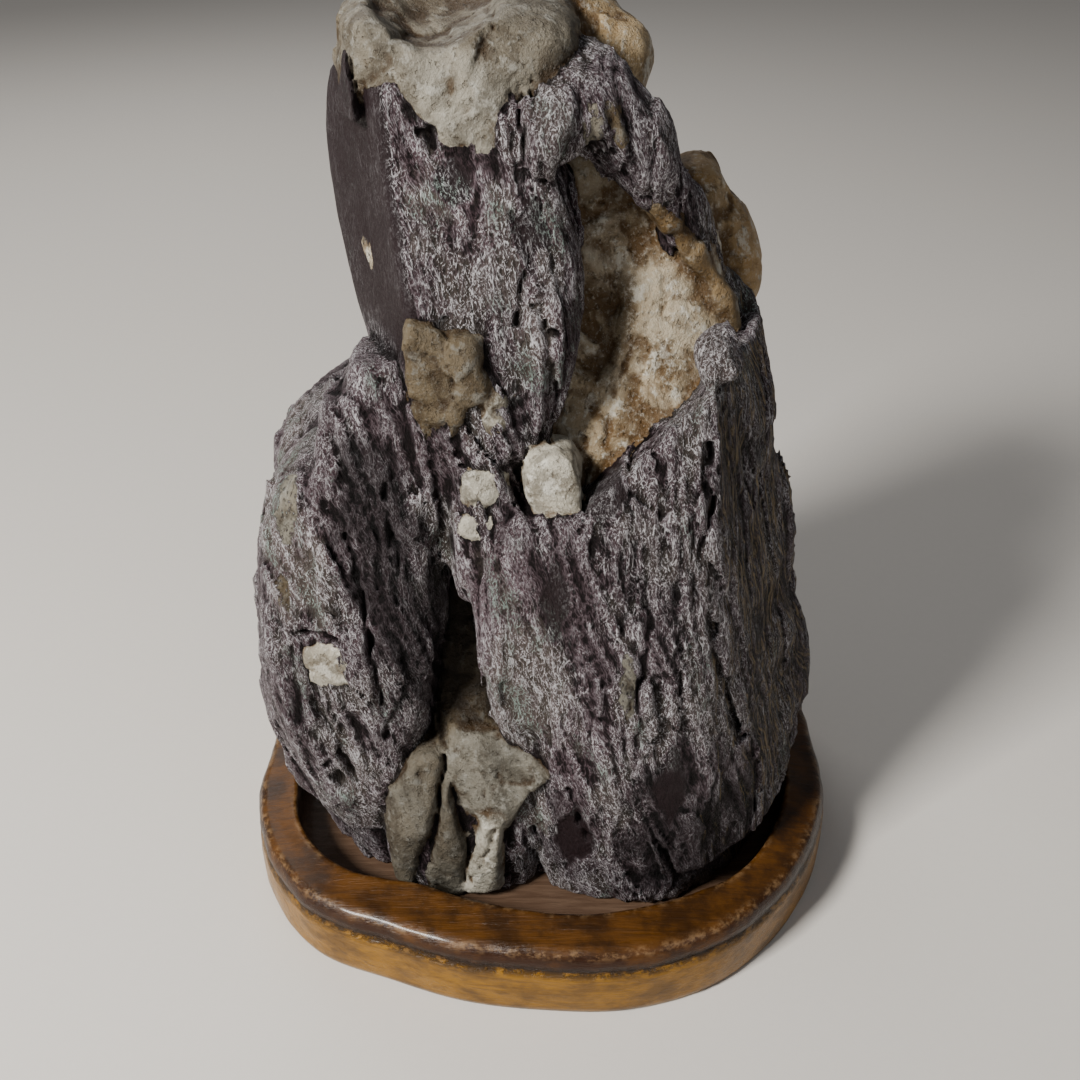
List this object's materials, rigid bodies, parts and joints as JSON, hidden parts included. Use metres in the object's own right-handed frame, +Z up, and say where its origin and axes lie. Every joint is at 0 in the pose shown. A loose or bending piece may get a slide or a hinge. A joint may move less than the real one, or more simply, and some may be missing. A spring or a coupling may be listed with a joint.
{
  "type": "scholars rock",
  "caption": "Upright scholars rock of purple slate veined with pale quartz, resting in a shallow carved wooden tray stand.",
  "frame": {"origin": "centre of the underside of the wooden stand", "axes": "+Z up along the stone, +X to the right and -Y towards the stone's front"},
  "size_m": [0.1403, 0.1364, 0.1985],
  "materials": {
    "stone": "dry, scuffed purple slate with matt veins and pods of cream, grey and ochre quartz",
    "wood": "worn amber-brown varnish over carved wood, paler on the lower band"
  },
  "bodies": {
    "root": {"rock": "stone", "stand": "wood"}
  },
  "joints": []
}
